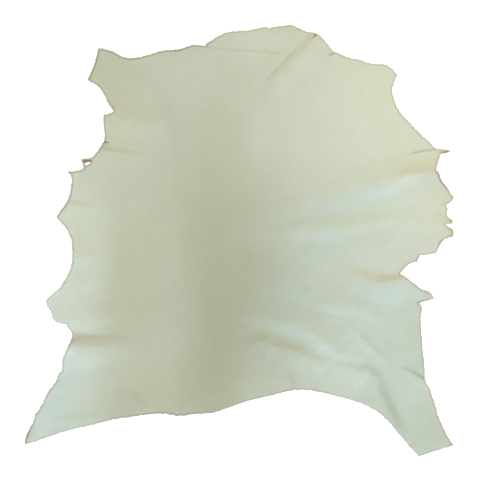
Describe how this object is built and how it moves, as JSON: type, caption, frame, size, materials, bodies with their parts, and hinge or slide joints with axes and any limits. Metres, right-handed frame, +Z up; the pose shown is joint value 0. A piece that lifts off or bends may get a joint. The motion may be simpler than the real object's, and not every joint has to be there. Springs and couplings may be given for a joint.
{
  "type": "leather hide",
  "caption": "Whole tanned leather skin with a raw irregular edge, leg and neck outlines and soft folds, lying flat with its grain side up.",
  "frame": {"origin": "middle of the skin's bounding box, on the surface that the skin lies on", "axes": "+Z up out of the grain side, +Y towards the neck, +X across the skin to the right foreleg"},
  "size_m": [0.768, 0.773, 0.0079],
  "materials": {
    "leather": "pale sage green, smooth fine grain, soft satin sheen, with a thin tan raw edge"
  },
  "bodies": {
    "root": {"hide": "leather"}
  },
  "joints": []
}
